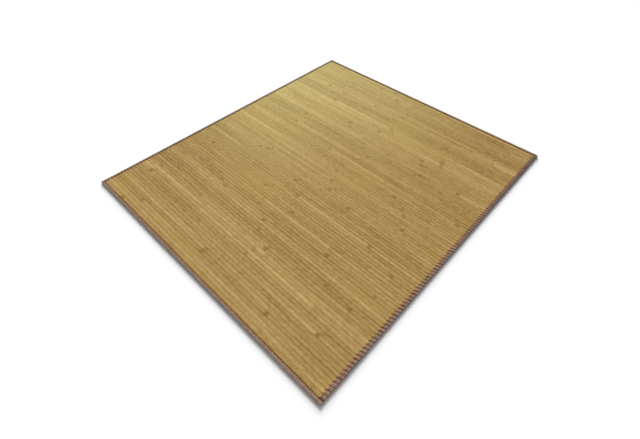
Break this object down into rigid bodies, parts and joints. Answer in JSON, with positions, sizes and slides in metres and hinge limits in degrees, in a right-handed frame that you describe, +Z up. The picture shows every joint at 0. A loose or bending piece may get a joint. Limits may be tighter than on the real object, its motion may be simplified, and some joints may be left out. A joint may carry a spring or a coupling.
{
  "type": "bamboo rug",
  "caption": "Flat rectangular bamboo floor rug: long crowned slats laid side by side, all four edges bound with folded cloth tape that is stitched down between the slats.",
  "frame": {"origin": "on the floor, under the middle of the rug", "axes": "+X across the slats, the long way of the rug; +Y along the slats; +Z up, out of the walked-on face"},
  "size_m": [1.2192, 1.0668, 0.0071],
  "materials": {
    "bamboo": "planed bamboo, satin",
    "tape_cloth": "woven tape, dull"
  },
  "bodies": {
    "root": {"slat_panel": "bamboo", "side_tape_left": "tape_cloth", "side_tape_right": "tape_cloth", "end_tape_near": "tape_cloth", "end_tape_far": "tape_cloth"}
  },
  "joints": []
}
